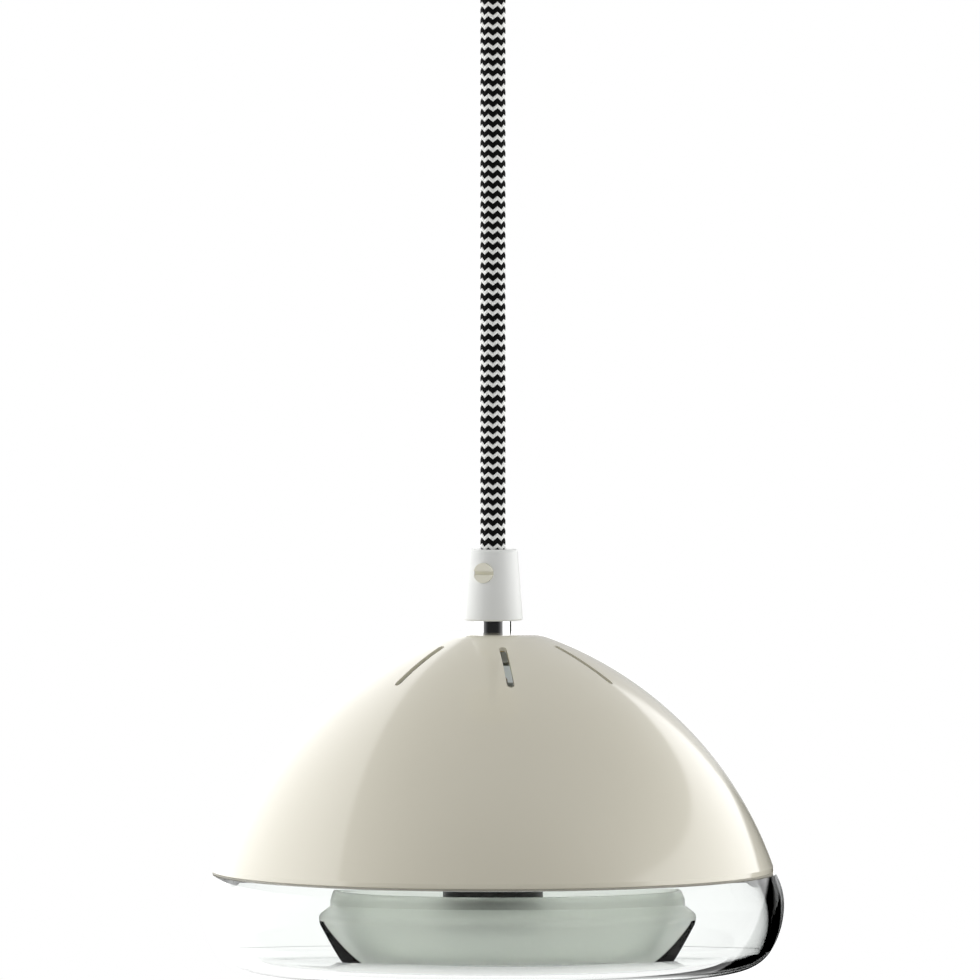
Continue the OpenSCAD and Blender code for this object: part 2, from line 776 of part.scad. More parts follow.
// Black tube around the socket and the bulb, hung by two ears under the socket's ears
module socket_skirt() {
    flange_z = skirt_top - skirt_t;
    color([0.1, 0.1, 0.1]) at_rim() difference() {
        union() {
            bore(skirt_r, -skirt_drop, skirt_top);
            translate([0, 0, flange_z]) linear_extrude(skirt_t) slot_2d(2 * ear_reach, ear_w);
        }
        bore(skirt_r - skirt_t, -skirt_drop - over, flange_z);
        bore(socket_d / 2 + skirt_gap, flange_z - over, skirt_top + over);
        for (side = [-1, 1]) translate([side * ear_screw_out, 0, 0])
            bore(ear_screw_r + fit, flange_z - over, skirt_top + over);
    }
}

module socket_screws() {
    shank = skirt_t + ear_t + strip_t + ear_nut_h + screw_past;
    color(steel) at_rim() for (side = [-1, 1]) translate([side * ear_screw_out, 0, skirt_top - skirt_t])
        mirror([0, 0, 1]) slotted_screw(ear_screw_r, shank, ear_head_r, ear_head_h);
}

module socket_nuts() {
    color(steel) at_rim() for (side = [-1, 1]) translate([side * ear_screw_out, 0, foot_end + strip_t])
        difference() {
            cylinder(r = ear_nut_r, h = ear_nut_h, $fn = 6);
            bore(ear_screw_r + fit, -over, ear_nut_h + over);
        }
}

// Two wires from the cord's lower end to the socket
module lamp_wires() {
    color("saddlebrown") at_rim() for (side = [-1, 1]) tube([
        [side * 1.5, 0.6, nipple_end],
        [side * 1.5, 0.6, nipple_end - 0.5],
        [side * 1.8, 0.5, nipple_end - wire_room * 0.35],
        [side * wire_entry_x, 0, nipple_end - wire_room * 0.8],
        [side * wire_entry_x, 0, foot_end - wire_entry_depth + 0.3]], wire_r, wire_sides);
}

// Earth wire from the cord's lower end out to the lug's tail
module earth_wire() {
    tail_y = lug_t / 2 - nut_af / 2 - tail_l;
    color("yellowgreen") at_rim() tube([
        [0, -1.4, nipple_end],
        [0, -1.4, nipple_end - 0.5],
        [0, -2.2, nipple_end - 1.3],
        [0, -5, nipple_end - 2],
        [0, tail_y, nipple_end - 0.6],
        [0, tail_y, lug_top - lug_t - tail_l]], wire_r, wire_sides);
}

module gasket() {
    color([0.7, 0.68, 0.6]) at_rim() difference() {
        bore(dome_r, -gasket_t, 0);
        bore(dome_r - gasket_w, -gasket_t - over, over);
    }
}

// Capsule bulb: a flat foot in the socket and a hollow envelope with a round end
module bulb_glass() {
    r = bulb_d / 2;
    tip = socket_end - bulb_l;
    neck = socket_end - bulb_neck_l;
    roof = neck - bulb_shoulder_r;
    foot_l = bulb_neck_l + bulb_shoulder_r + mouth_depth - foot_clear;
    color([0.9, 0.95, 1, 0.4]) at_rim() difference() {
        union() {
            translate([0, 0, neck - bulb_shoulder_r]) linear_extrude(foot_l) slot_2d(foot_w, foot_t);
            rotate_extrude() polygon(concat(
                arc([r - bulb_shoulder_r, neck - bulb_shoulder_r], bulb_shoulder_r, 90, 0),
                arc([0, tip + r], r, 0, -90), [[0, neck]]));
        }
        rotate_extrude() polygon(concat(
            arc([r - bulb_shoulder_r, roof - bulb_shoulder_r], bulb_shoulder_r - bulb_wall, 90, 0),
            arc([0, tip + r], r - bulb_wall, 0, -90), [[0, roof - bulb_wall]]));
    }
}

// Two hairpin pins
module bulb_pins() {
    foot_top = socket_end + mouth_depth - foot_clear;
    color(chrome) at_rim() for (side = [-1, 1]) translate([side * pin_pitch / 2, 0, foot_top]) {
        for (leg = [-1, 1]) translate([leg * pin_loop_w / 2, 0, 0])
            cylinder(r = pin_wire_r, h = pin_l - pin_loop_w / 2 - pin_wire_r);
        translate([0, 0, pin_l - pin_loop_w / 2 - pin_wire_r]) rotate([90, 0, 0])
            rotate_extrude(angle = 180) translate([pin_loop_w / 2, 0]) circle(r = pin_wire_r);
    }
}

// Coiled filament across the envelope on two support wires
module bulb_filament() {
    top = socket_end - bulb_neck_l - bulb_shoulder_r - bulb_wall;
    drop = 9;
    half = 3;
    support_r = 0.25;
    coil_r = 0.6;
    color([0.5, 0.5, 0.5]) at_rim() {
        for (side = [-1, 1]) translate([side * half, 0, 0]) bore(support_r, top - drop, top);
        translate([0, 0, top - drop]) rotate([0, 90, 0]) cylinder(r = coil_r, h = 2 * half, center = true);
    }
}

// Inner outline of the bowl, moved inwards by the extra wall
function thickened(path) = [for (p = path)
    let (share = min(1, max(0, (p[1] - gain_from) / (gain_to - gain_from))))
    [max(neck_in_r, p[0] - wall_gain * share), p[1]]];

// Clear bowl: neck inside the rim, shoulder under it, bulging side and flat floor
module glass_bowl() {
    neck_top = neck_h - glass_edge_r;
    color([0.85, 0.95, 0.95, 0.35]) at_rim() rotate_extrude() polygon(concat(
        [[0, -bowl_depth]],
        arc(corner_centre, bowl_corner_r, -90, -bowl_side_turn),
        arc(lower_centre, bowl_side_r, -bowl_side_turn, 0),
        arc(upper_centre, upper_arc_r, 0, shoulder_angle),
        [[neck_r, -gasket_t]],
        arc([neck_r - glass_edge_r, neck_top], glass_edge_r, 0, 90),
        arc([neck_in_r + glass_edge_r, neck_top], glass_edge_r, 90, 180),
        thickened(arc(upper_centre, upper_arc_r - bowl_wall, neck_foot_angle, 0)),
        thickened(arc(lower_centre, bowl_side_r - bowl_wall, 0, -bowl_side_turn)),
        arc(corner_centre, bowl_corner_r - bowl_wall, -bowl_side_turn, -90),
        [[0, bowl_floor]]));
}

// Satin dish: thick lower corner, round bead, upright neck with a round edge, open at the top
module satin_dish() {
    neck_top = dish_h - dish_edge_r;
    bead = [bead_x, dish_bead_h];
    floor_r = dish_floor_d / 2;
    color([0.78, 0.84, 0.78, 0.9]) at_rim() translate([dish_shift, 0, bowl_floor])
        rotate_extrude() polygon(concat(
            [[0, 0]],
            arc([dish_base_r - dish_corner_r, dish_corner_r], dish_corner_r, -90, -40),
            [[dish_side_r, dish_side_h]],
            arc(bead, dish_bead_r, -20, bead_neck_angle),
            arc([dish_r - dish_edge_r, neck_top], dish_edge_r, 0, 180),
            [[dish_r - dish_wall, dish_bead_h + dish_neck_foot], [floor_r, dish_wall] + dish_floor_edge,
                [floor_r, dish_wall], [0, dish_wall]]));
}

ceiling_plate();
cord_clamp();
clamp_screws();
terminal_block();
terminal_screws();
block_screws();
ceiling_wires();
cord_top();
canopy();
canopy_nipple();
canopy_nut();
canopy_grip();
canopy_grip_screw();
cord();
cord_grip();
cord_grip_screw();
nipple();
dome();
crown_washer();
gallery();
spring_clips();
clip_rivets();
socket_bracket();
earth_lug();
lock_nut();
socket();
socket_skirt();
socket_screws();
socket_nuts();
lamp_wires();
earth_wire();
gasket();
bulb_glass();
bulb_pins();
bulb_filament();
glass_bowl();
satin_dish();
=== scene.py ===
"""Pendant lamp: a lacquered dome over a clear glass bowl with a satin dish, hung on a braided cord.

All lengths are metres in the part's frame: Z is up, the origin is the middle of the ceiling
plate's top, and the camera looks along +Y. Sizes in millimetres are written with the factor MM.
"""

import math

import bpy
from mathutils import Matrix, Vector


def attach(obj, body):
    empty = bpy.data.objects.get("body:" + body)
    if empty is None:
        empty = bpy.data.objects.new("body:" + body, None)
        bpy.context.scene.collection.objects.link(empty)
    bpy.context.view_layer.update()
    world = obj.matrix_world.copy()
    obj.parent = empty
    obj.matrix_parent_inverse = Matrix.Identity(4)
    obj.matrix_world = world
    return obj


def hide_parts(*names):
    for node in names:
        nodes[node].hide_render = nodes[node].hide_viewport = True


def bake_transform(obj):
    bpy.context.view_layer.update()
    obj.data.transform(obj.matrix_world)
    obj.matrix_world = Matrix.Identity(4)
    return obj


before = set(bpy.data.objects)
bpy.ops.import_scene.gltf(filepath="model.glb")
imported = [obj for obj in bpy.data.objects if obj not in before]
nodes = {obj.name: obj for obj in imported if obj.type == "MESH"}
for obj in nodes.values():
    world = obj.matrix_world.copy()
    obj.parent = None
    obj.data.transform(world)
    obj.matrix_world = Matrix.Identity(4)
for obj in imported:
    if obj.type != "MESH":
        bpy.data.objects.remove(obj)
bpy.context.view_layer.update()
scene = bpy.context.scene
scene.view_settings.view_transform = "Standard"

MM = 0.001

# Heights of the cord's ends, the canopy's floor and the dome's rim
CORD_TOP = -8.5 * MM
CANOPY_FLOOR = -26 * MM
RIM = -293.9 * MM
CORD_END = RIM + 56.5 * MM

# Dome
DOME_R = 77 * MM
DOME_H = 65.3 * MM
SHEET = 1 * MM
NIPPLE_BORE = 5.05 * MM
CROWN_FLAT = 9 * MM
CROWN_ARC = 17.4 * MM
CROWN_TURN = math.radians(20)
LIP = 1.4 * MM
LIP_EDGE = 0.25 * MM
HEM = 2.5 * MM
VENTS = 7
VENT_IN = 19.5 * MM
VENT_OUT = 38 * MM
VENT_W = 2 * MM
VENT_TURN = math.radians(7.5)

# Camera: far off and slightly above, as in the photograph
CAMERA_DISTANCE = 4.0
CAMERA_RISE = math.radians(2.3)
CAMERA_TARGET = Vector((-0.0008, 0, -0.1893))
VIEW_WIDTH = 0.2687
SENSOR = 36
CLIP_NEAR = 0.1
CLIP_FAR = 100


def add_camera():
    data = bpy.data.cameras.new("camera")
    data.sensor_width = SENSOR
    data.lens = SENSOR * CAMERA_DISTANCE / VIEW_WIDTH
    data.clip_start = CLIP_NEAR
    data.clip_end = CLIP_FAR
    camera = bpy.data.objects.new("camera", data)
    back = Vector((0, -math.cos(CAMERA_RISE), math.sin(CAMERA_RISE)))
    camera.location = CAMERA_TARGET + CAMERA_DISTANCE * back
    camera.rotation_mode = "QUATERNION"
    camera.rotation_quaternion = (-back).to_track_quat("-Z", "Y")
    scene.collection.objects.link(camera)
    scene.camera = camera


add_camera()


class Nodes:
    """Adds and joins the shader nodes of one tree."""

    def __init__(self, tree):
        self.tree = tree

    def add(self, kind, **settings):
        made = self.tree.nodes.new(kind)
        for name, value in settings.items():
            setattr(made, name, value)
        return made

    def fill(self, socket, value):
        """Links a socket to another one, or sets it to a value."""
        if isinstance(value, bpy.types.NodeSocket):
            self.tree.links.new(value, socket)
        else:
            socket.default_value = value

    def maths(self, operation, *values):
        made = self.add("ShaderNodeMath", operation=operation)
        for socket, value in zip(made.inputs, values):
            self.fill(socket, value)
        return made.outputs["Value"]

    def both(self, first, second):
        return self.maths("MULTIPLY", first, second)

    def either(self, first, second):
        return self.maths("MAXIMUM", first, second)

    def opposite(self, value):
        return self.maths("SUBTRACT", 1.0, value)

    def span(self, value, before=(0.0, 1.0), after=(0.0, 1.0)):
        """The value carried over from one range to another, and held at its ends."""
        made = self.add("ShaderNodeMapRange")
        self.fill(made.inputs["Value"], value)
        for socket, number in zip(("From Min", "From Max", "To Min", "To Max"), (*before, *after)):
            made.inputs[socket].default_value = number
        return made.outputs["Result"]

    def mix(self, factor, first, second):
        """A colour between two colours."""
        made = self.add("ShaderNodeMix", data_type="RGBA")
        self.fill(made.inputs["Factor"], factor)
        self.fill(made.inputs["A"], (*first, 1))
        self.fill(made.inputs["B"], (*second, 1))
        return made.outputs["Result"]

    def cone(self, ray, axis, edge, soft):
        """1 for rays along the axis, 0 away from it; the change is where their dot product is edge."""
        along = self.add("ShaderNodeVectorMath", operation="DOT_PRODUCT")
        self.fill(along.inputs[0], ray)
        self.fill(along.inputs[1], axis)
        made = self.add("ShaderNodeMapRange", interpolation_type="SMOOTHSTEP")
        self.fill(made.inputs["Value"], along.outputs["Value"])
        self.fill(made.inputs["From Min"], edge - soft)
        self.fill(made.inputs["From Max"], edge + soft)
        return made.outputs["Result"]


# Materials

COLOUR_DETAIL = 4.0
RELIEF_DETAIL = 3.0
EVEN = (1, 1, 1)
FACING_BLEND = 0.5


class Surface:
    """A node material built round one Principled shader."""

    def __init__(self, name, colour, roughness, metallic=0.0, **sockets):
        self.material = bpy.data.materials.new(name)
        self.material.use_nodes = True
        self.colour = colour
        self.kit = Nodes(self.material.node_tree)
        self.shader = self.kit.tree.nodes["Principled BSDF"]
        self.place = self.kit.add("ShaderNodeTexCoord").outputs["Object"]
        self.set("Base Color", (*colour, 1))
        self.set("Roughness", roughness)
        self.set("Metallic", metallic)
        for socket, value in sockets.items():
            self.set(socket.replace("_", " "), value)

    def set(self, socket, value):
        self.kit.fill(self.shader.inputs[socket], value)

    def noise(self, size, detail, stretch):
        """Noise whose grains are about one size across, in metres."""
        mapping = self.kit.add("ShaderNodeMapping")
        self.kit.fill(mapping.inputs["Vector"], self.place)
        self.kit.fill(mapping.inputs["Scale"], stretch)
        texture = self.kit.add("ShaderNodeTexNoise")
        self.kit.fill(texture.inputs["Vector"], mapping.outputs["Vector"])
        self.kit.fill(texture.inputs["Scale"], 1 / size)
        self.kit.fill(texture.inputs["Detail"], detail)
        return texture.outputs["Fac"]

    def facing(self):
        """0 where the surface faces the viewer, 1 where it is seen edge on."""
        weight = self.kit.add("ShaderNodeLayerWeight")
        self.kit.fill(weight.inputs["Blend"], FACING_BLEND)
        return weight.outputs["Facing"]

    def mottle(self, first, second, size, stretch=EVEN):
        """The colour drifts between two close colours."""
        self.set("Base Color", self.kit.mix(self.noise(size, COLOUR_DETAIL, stretch), first, second))

    def uneven(self, low, high, size, stretch=EVEN):
        """The roughness drifts between two values."""
        noise = self.noise(size, COLOUR_DETAIL, stretch)
        self.set("Roughness", self.kit.span(noise, after=(low, high)))

    def painted_dark_edge(self, heights, starts, soft):
        """Painted dark refraction: clear in front and black where it is seen edge on, in place of the dark
        surroundings that refraction shows there; the dark band thins with height.
        """
        height = self.kit.add("ShaderNodeSeparateXYZ")
        self.kit.fill(height.inputs["Vector"], self.place)
        start = self.kit.span(height.outputs["Z"], heights, starts)
        past = self.kit.maths("SUBTRACT", self.facing(), start)
        self.set("Alpha", self.kit.span(past, (0, soft)))

    def painted_edge_shade(self, start, colour):
        """Painted shade: the glass's colour turns to the given darker colour where it is seen edge on, in
        place of the dark edge that refraction gives.
        """
        self.set("Base Color", self.kit.mix(self.kit.span(self.facing(), (start, 1)), self.colour, colour))

    def bump(self, height, size, detail=RELIEF_DETAIL, stretch=EVEN):
        """Relief of about one height and one grain size, in metres."""
        relief = self.kit.add("ShaderNodeBump")
        self.kit.fill(relief.inputs["Distance"], height)
        self.kit.fill(relief.inputs["Height"], self.noise(size, detail, stretch))
        self.set("Normal", relief.outputs["Normal"])


def srgb(red, green, blue):
    """A colour given in 0 to 255 display values, as linear light."""
    return tuple(
        c / 12.92 if c <= 0.04045 else ((c + 0.055) / 1.055) ** 2.4
        for c in (red / 255, green / 255, blue / 255)
    )


lacquer = Surface("cream_lacquer", srgb(222, 217, 199), 0.35, Coat_Weight=1.0, Coat_Roughness=0.03)
lacquer.mottle(srgb(223, 218, 200), srgb(219, 214, 196), 0.03)
lacquer.bump(0.00001, 0.004, 2.0)

# The low tint keeps the bright wall's reflection off the parts of the bowl that look black
clear_glass = Surface("clear_glass", (0.985, 1.0, 0.99), 0.0, Transmission_Weight=1.0, IOR=1.5)
clear_glass.set("Specular Tint", (0.02, 0.02, 0.02, 1))
# Painted shade: the bowl turns grey where it is seen edge on
clear_glass.painted_edge_shade(0.78, (0.35, 0.37, 0.37))
clear_glass.bump(0.000005, 0.012, 1.0)

# Rough glass with a low index blurs what is behind it and still lets most of the light through
satin_glass = Surface("satin_glass", srgb(247, 250, 246), 0.82, Transmission_Weight=0.92, IOR=1.14)
satin_glass.mottle(srgb(248, 251, 247), srgb(245, 248, 243), 0.01)
satin_glass.bump(0.00002, 0.0006)

# The wedge round the dish's lower corner: black edge on between two heights, else unseen; the black is
# painted dark refraction
WEDGE_HEIGHTS = (-317.5 * MM, -305 * MM)
WEDGE_EDGE = (0.6, 0.78)
WEDGE_SOFT = 0.02
foot_glass_painted_edge = Surface("foot_glass_painted_edge", (0.0, 0.0, 0.0), 0.03, IOR=1.0, Specular_IOR_Level=0.0)
foot_glass_painted_edge.painted_dark_edge(WEDGE_HEIGHTS, WEDGE_EDGE, WEDGE_SOFT)
foot_glass_painted_edge.bump(0.00002, 0.012, 1.0)

# The wedge's inner faces, against the satin glass: unseen
seat_glass = Surface("seat_glass", (1.0, 1.0, 1.0), 0.03, IOR=1.0, Specular_IOR_Level=0.0, Alpha=0.0)
seat_glass.bump(0.00002, 0.012, 1.0)

bulb_glass = Surface("bulb_glass", (1.0, 1.0, 1.0), 0.0, Transmission_Weight=1.0, IOR=1.47)
bulb_glass.bump(0.00002, 0.004, 1.0)

nylon = Surface("white_nylon", srgb(240, 242, 237), 0.42, Subsurface_Weight=0.35, Subsurface_Scale=0.004)
nylon.mottle(srgb(241, 243, 238), srgb(236, 239, 232), 0.004)
nylon.bump(0.00002, 0.0006)

cream_nylon = Surface(
    "cream_nylon", srgb(252, 250, 232), 0.4, Subsurface_Weight=0.25, Subsurface_Scale=0.002
)
cream_nylon.mottle(srgb(253, 251, 234), srgb(248, 245, 224), 0.002)
cream_nylon.bump(0.00002, 0.0005)

chrome = Surface("chrome", srgb(226, 228, 230), 0.06, 1.0)
chrome.mottle(srgb(228, 230, 232), srgb(218, 220, 222), 0.004, (1, 1, 6))
chrome.bump(0.000004, 0.0008, 2.0, (0.2, 0.2, 8))

# Painted shade: zinc steel's grey, made far darker than zinc plating so that parts seen through the vents
# read as the dome's dark inside
zinc_with_painted_shade = Surface("zinc_steel", srgb(62, 64, 66), 0.5, 1.0)
zinc_with_painted_shade.mottle(srgb(66, 68, 70), srgb(56, 58, 60), 0.003)
zinc_with_painted_shade.uneven(0.38, 0.55, 0.002)

spring_steel = Surface("spring_steel", srgb(150, 152, 158), 0.25, 1.0)
spring_steel.mottle(srgb(156, 158, 164), srgb(138, 140, 147), 0.002, (1, 1, 0.2))
spring_steel.uneven(0.2, 0.34, 0.0012, (1, 1, 0.2))

brass = Surface("brass", srgb(206, 176, 106), 0.28, 1.0)
brass.mottle(srgb(210, 180, 110), srgb(190, 158, 90), 0.002)
brass.uneven(0.2, 0.36, 0.001)

ceramic = Surface("white_ceramic", srgb(238, 236, 230), 0.3, Coat_Weight=0.6, Coat_Roughness=0.12)
ceramic.mottle(srgb(240, 238, 232), srgb(229, 226, 218), 0.003)
ceramic.bump(0.00003, 0.001)

plastic = Surface("white_plastic", srgb(232, 232, 226), 0.4)
plastic.mottle(srgb(234, 234, 228), srgb(226, 226, 219), 0.003)
plastic.bump(0.00002, 0.0006)

black_lacquer = Surface("black_lacquer", srgb(4, 4, 4), 0.5, Specular_IOR_Level=0.03)
black_lacquer.mottle(srgb(5, 5, 5), srgb(3, 3, 3), 0.004)
black_lacquer.bump(0.00001, 0.001)

silicone = Surface("clear_silicone", srgb(205, 200, 184), 0.4, Transmission_Weight=0.6, IOR=1.41)
silicone.mottle(srgb(208, 203, 187), srgb(198, 192, 175), 0.003)
silicone.bump(0.00002, 0.0008)

wire_cover = Surface("wire_cover", srgb(150, 100, 62), 0.4)
wire_cover.mottle(srgb(154, 104, 66), srgb(140, 92, 56), 0.003)
wire_cover.bump(0.00001, 0.0008)

earth_cover = Surface("earth_cover", srgb(120, 160, 60), 0.4)
earth_cover.mottle(srgb(124, 164, 62), srgb(112, 150, 56), 0.003)
earth_cover.bump(0.00001, 0.0008)

black_yarn = Surface("black_yarn", srgb(8, 8, 8), 0.85, Specular_IOR_Level=0.15)
black_yarn.mottle(srgb(12, 12, 12), srgb(5, 5, 5), 0.0003)
black_yarn.bump(0.00006, 0.00015)

white_yarn = Surface("white_yarn", srgb(250, 251, 249), 0.85, Sheen_Weight=0.25, Sheen_Roughness=0.5)
white_yarn.mottle(srgb(252, 253, 251), srgb(242, 243, 240), 0.0003)
white_yarn.bump(0.00006, 0.00015)

FINISHES = {
    surface.material.name: surface.material
    for surface in (
        lacquer, clear_glass, satin_glass, bulb_glass, nylon, cream_nylon, chrome, zinc_with_painted_shade,
        spring_steel, brass, ceramic, plastic, black_lacquer, silicone, wire_cover, earth_cover,
    )
}


def dress_nodes():
    """Meant to give every part that keeps its own mesh the finish of its material slot.

    Known fault: it changes nothing. The frame's materials have these names already, so the
    finishes are named zinc_steel.001 and so on, and no key of FINISHES matches a slot's name.
    """
    for part in nodes.values():
        for place in part.material_slots:
            name = place.material.name.split(".")[0] if place.material else ""
            if name in FINISHES:
                place.material = FINISHES[name]


# Shapes

TINY_ARC = 4
SHORT_ARC = 8
ROUND_ARC = 16
USUAL_ARC = 24
LONG_ARC = 48
SEGMENTS = 192
SAME_POINT = 1e-7
SMOOTH_BELOW = math.radians(30)
QUARTER = math.pi / 2


def add_mesh(name, points, faces, materials, smooth_below=SMOOTH_BELOW):
    mesh = bpy.data.meshes.new(name)
    mesh.from_pydata(points, [], faces)
    for material in materials:
        mesh.materials.append(material)
    mesh.polygons.foreach_set("use_smooth", [True] * len(mesh.polygons))
    mesh.set_sharp_from_angle(angle=smooth_below)
    mesh.update()
    made = bpy.data.objects.new(name, mesh)
    scene.collection.objects.link(made)
    return made


def arc(centre, radius, start, end, steps=USUAL_ARC):
    """Points of an arc in the profile plane; the angles are radians from the radius axis."""
    angles = [start + (end - start) * i / steps for i in range(steps + 1)]
    return [(centre[0] + radius * math.cos(a), centre[1] + radius * math.sin(a)) for a in angles]


def unique(profile):
    """The profile without points that repeat."""
    kept = [profile[0]]
    for point in profile[1:]:
        if math.dist(point, kept[-1]) > SAME_POINT:
            kept.append(point)
    return kept


def raised(profile, height):
    """The profile without points that repeat, moved up."""
    return [(r, z + height) for r, z in unique(profile)]


def lathe(name, profile, material, segments=SEGMENTS, shift=0.0):
    """Solid of revolution of a closed profile, or of one whose ends are on the axis."""
    points = []
    rings = []
    for r, z in profile:
        if r < SAME_POINT:
            rings.append([len(points)])
            points.append((shift, 0, z))
            continue
        rings.append(list(range(len(points), len(points) + segments)))
        for k in range(segments):
            turn = 2 * math.pi * k / segments
            points.append((shift + r * math.cos(turn), r * math.sin(turn), z))
    faces = []
    pairs = list(zip(rings, rings[1:]))
    if len(rings[0]) > 1:
        pairs.append((rings[-1], rings[0]))
    for low, high in pairs:
        if len(low) == 1 and len(high) == 1:
            continue
        for k in range(segments):
            after = (k + 1) % segments
            if len(low) == 1:
                faces.append((low[0], high[after], high[k]))
            elif len(high) == 1:
                faces.append((low[k], low[after], high[0]))
            else:
                faces.append((low[k], low[after], high[after], high[k]))
    return add_mesh(name, points, faces, [material])


# Cord: CREST_POWER flattens the yarns' tops, RIB_GROOVE is the share of relief lost between ribs

CORD_R = 3.5 * MM
CORD_COLUMNS = 16
CORD_PER_COLUMN = 5
YARN_RISE = 1.4 * MM
PAIR_ROWS = 12
BLACK_ROWS = 7
YARN_SLOPE = 1.0 * MM
YARN_DEPTH = 0.28 * MM
CREST_POWER = 4
RIB_GROOVE = 0.5


def add_cord():
    """Braid of black and white yarns that meet in upright ribs of chevrons."""
    around = CORD_COLUMNS * CORD_PER_COLUMN
    length = CORD_TOP - CORD_END
    rise_per_row = 2 * YARN_RISE / PAIR_ROWS
    rows = math.ceil((length + YARN_SLOPE) / rise_per_row)
    points = []
    for row in range(rows + 1):
        across = (row % PAIR_ROWS) / BLACK_ROWS
        if across >= 1:
            across = (row % PAIR_ROWS - BLACK_ROWS) / (PAIR_ROWS - BLACK_ROWS)
        crest = 1 - (2 * across - 1) ** CREST_POWER
        for k in range(around):
            column, place = divmod(k / CORD_PER_COLUMN, 1)
            rise = place if column % 2 == 0 else 1 - place
            bulge = 1 - RIB_GROOVE * (2 * place - 1) ** 2
            radius = CORD_R - YARN_DEPTH * (1 - crest * bulge)
            z = CORD_END - YARN_SLOPE + row * rise_per_row + YARN_SLOPE * rise
            z = min(max(z, CORD_END), CORD_TOP)
            turn = 2 * math.pi * k / around
            points.append((radius * math.cos(turn), radius * math.sin(turn), z))
    faces = []
    yarns = []
    for row in range(rows):
        low = row * around
        high = low + around
        for k in range(around):
            after = (k + 1) % around
            faces.append((low + k, low + after, high + after, high + k))
            yarns.append(int(row % PAIR_ROWS >= BLACK_ROWS))
    faces.append(tuple(reversed(range(around))))
    faces.append(tuple(range(rows * around, (rows + 1) * around)))
    yarns += [1, 1]
    braid = [black_yarn.material, white_yarn.material]
    cord = add_mesh("braided_cord", points, faces, braid, math.pi)
    cord.data.polygons.foreach_set("material_index", yarns)
    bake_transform(cord)
    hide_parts("cord_top", "cord")


add_cord()


# Dome: a flat crown, a shoulder arc, a side arc tangent to it and an upright lip

SHOULDER_CENTRE = (CROWN_FLAT, DOME_H - CROWN_ARC)
CROWN_DIR = (math.sin(CROWN_TURN), math.cos(CROWN_TURN))
SIDE_START = (
    SHOULDER_CENTRE[0] + CROWN_ARC * CROWN_DIR[0],
    SHOULDER_CENTRE[1] + CROWN_ARC * CROWN_DIR[1],
)
SIDE_CHORD = (DOME_R - SIDE_START[0], LIP - SIDE_START[1])
SIDE_ARC = -(SIDE_CHORD[0] ** 2 + SIDE_CHORD[1] ** 2) / (
    2 * (SIDE_CHORD[0] * CROWN_DIR[0] + SIDE_CHORD[1] * CROWN_DIR[1])
)
SIDE_CENTRE = (SIDE_START[0] - SIDE_ARC * CROWN_DIR[0], SIDE_START[1] - SIDE_ARC * CROWN_DIR[1])
DOME_SEGMENTS = 256
VENT_END_ARC = 12
CUTTER_HEIGHTS = (RIM + 0.4 * DOME_H, RIM + 1.2 * DOME_H)
ALONG_NORMAL = 0.97


def skin(inset):
    """Outline of the dome from the crown to the lip, moved inwards."""
    turn = QUARTER - CROWN_TURN
    end = math.acos((DOME_R - inset - SIDE_CENTRE[0]) / (SIDE_ARC - inset))
    crown = arc(SHOULDER_CENTRE, CROWN_ARC - inset, QUARTER, turn, ROUND_ARC)
    return crown + arc(SIDE_CENTRE, SIDE_ARC - inset, turn, end, LONG_ARC)


def skin_normal(r, z):
    """Outward normal of the dome's skin in the profile plane."""
    if r < CROWN_FLAT:
        return 0.0, 1.0
    if z < LIP:
        return 1.0, 0.0
    centre = SHOULDER_CENTRE
    if (r - SIDE_CENTRE[0]) * CROWN_DIR[1] > (z - SIDE_CENTRE[1]) * CROWN_DIR[0]:
        centre = SIDE_CENTRE
    away = math.dist((r, z), centre)
    return (r - centre[0]) / away, (z - centre[1]) / away


def add_vent_cutters():
    """Upright prisms with round ends, one for each vent slot."""
    end_r = VENT_W / 2
    outline = arc((VENT_OUT - end_r, 0), end_r, -QUARTER, QUARTER, VENT_END_ARC)
    outline += arc((VENT_IN + end_r, 0), end_r, QUARTER, 3 * QUARTER, VENT_END_ARC)
    count = len(outline)
    points = []
    faces = []
    for vent in range(VENTS):
        turn = VENT_TURN - QUARTER + 2 * math.pi * vent / VENTS
        cos, sin = math.cos(turn), math.sin(turn)
        base = len(points)
        points += [
            (x * cos - y * sin, x * sin + y * cos, z) for z in CUTTER_HEIGHTS for x, y in outline
        ]
        faces.append(tuple(base + i for i in reversed(range(count))))
        faces.append(tuple(base + count + i for i in range(count)))
        for i in range(count):
            after = (i + 1) % count
            faces.append((base + i, base + after, base + count + after, base + count + i))
    return add_mesh("vent_cutters", points, faces, [lacquer.material])


def apply_modifiers(piece):
    """Keeps the piece's shape with its modifiers worked in."""
    graph = bpy.context.evaluated_depsgraph_get()
    mesh = bpy.data.meshes.new_from_object(piece.evaluated_get(graph))
    piece.modifiers.clear()
    piece.data = mesh


def smooth_dome(mesh):
    """Shades the skin with the exact normals of its arcs, and cut faces flat."""
    normals = [None] * len(mesh.loops)
    for face in mesh.polygons:
        for corner in face.loop_indices:
            x, y, z = mesh.vertices[mesh.loops[corner].vertex_index].co
            r = math.hypot(x, y)
            out, up = skin_normal(r, z - RIM)
            exact = Vector((x / r * out, y / r * out, up))
            match = exact.dot(face.normal)
            if match > ALONG_NORMAL:
                normals[corner] = exact
            elif match < -ALONG_NORMAL:
                normals[corner] = -exact
            else:
                normals[corner] = face.normal.copy()
    mesh.polygons.foreach_set("use_smooth", [True] * len(mesh.polygons))
    mesh.normals_split_custom_set(normals)


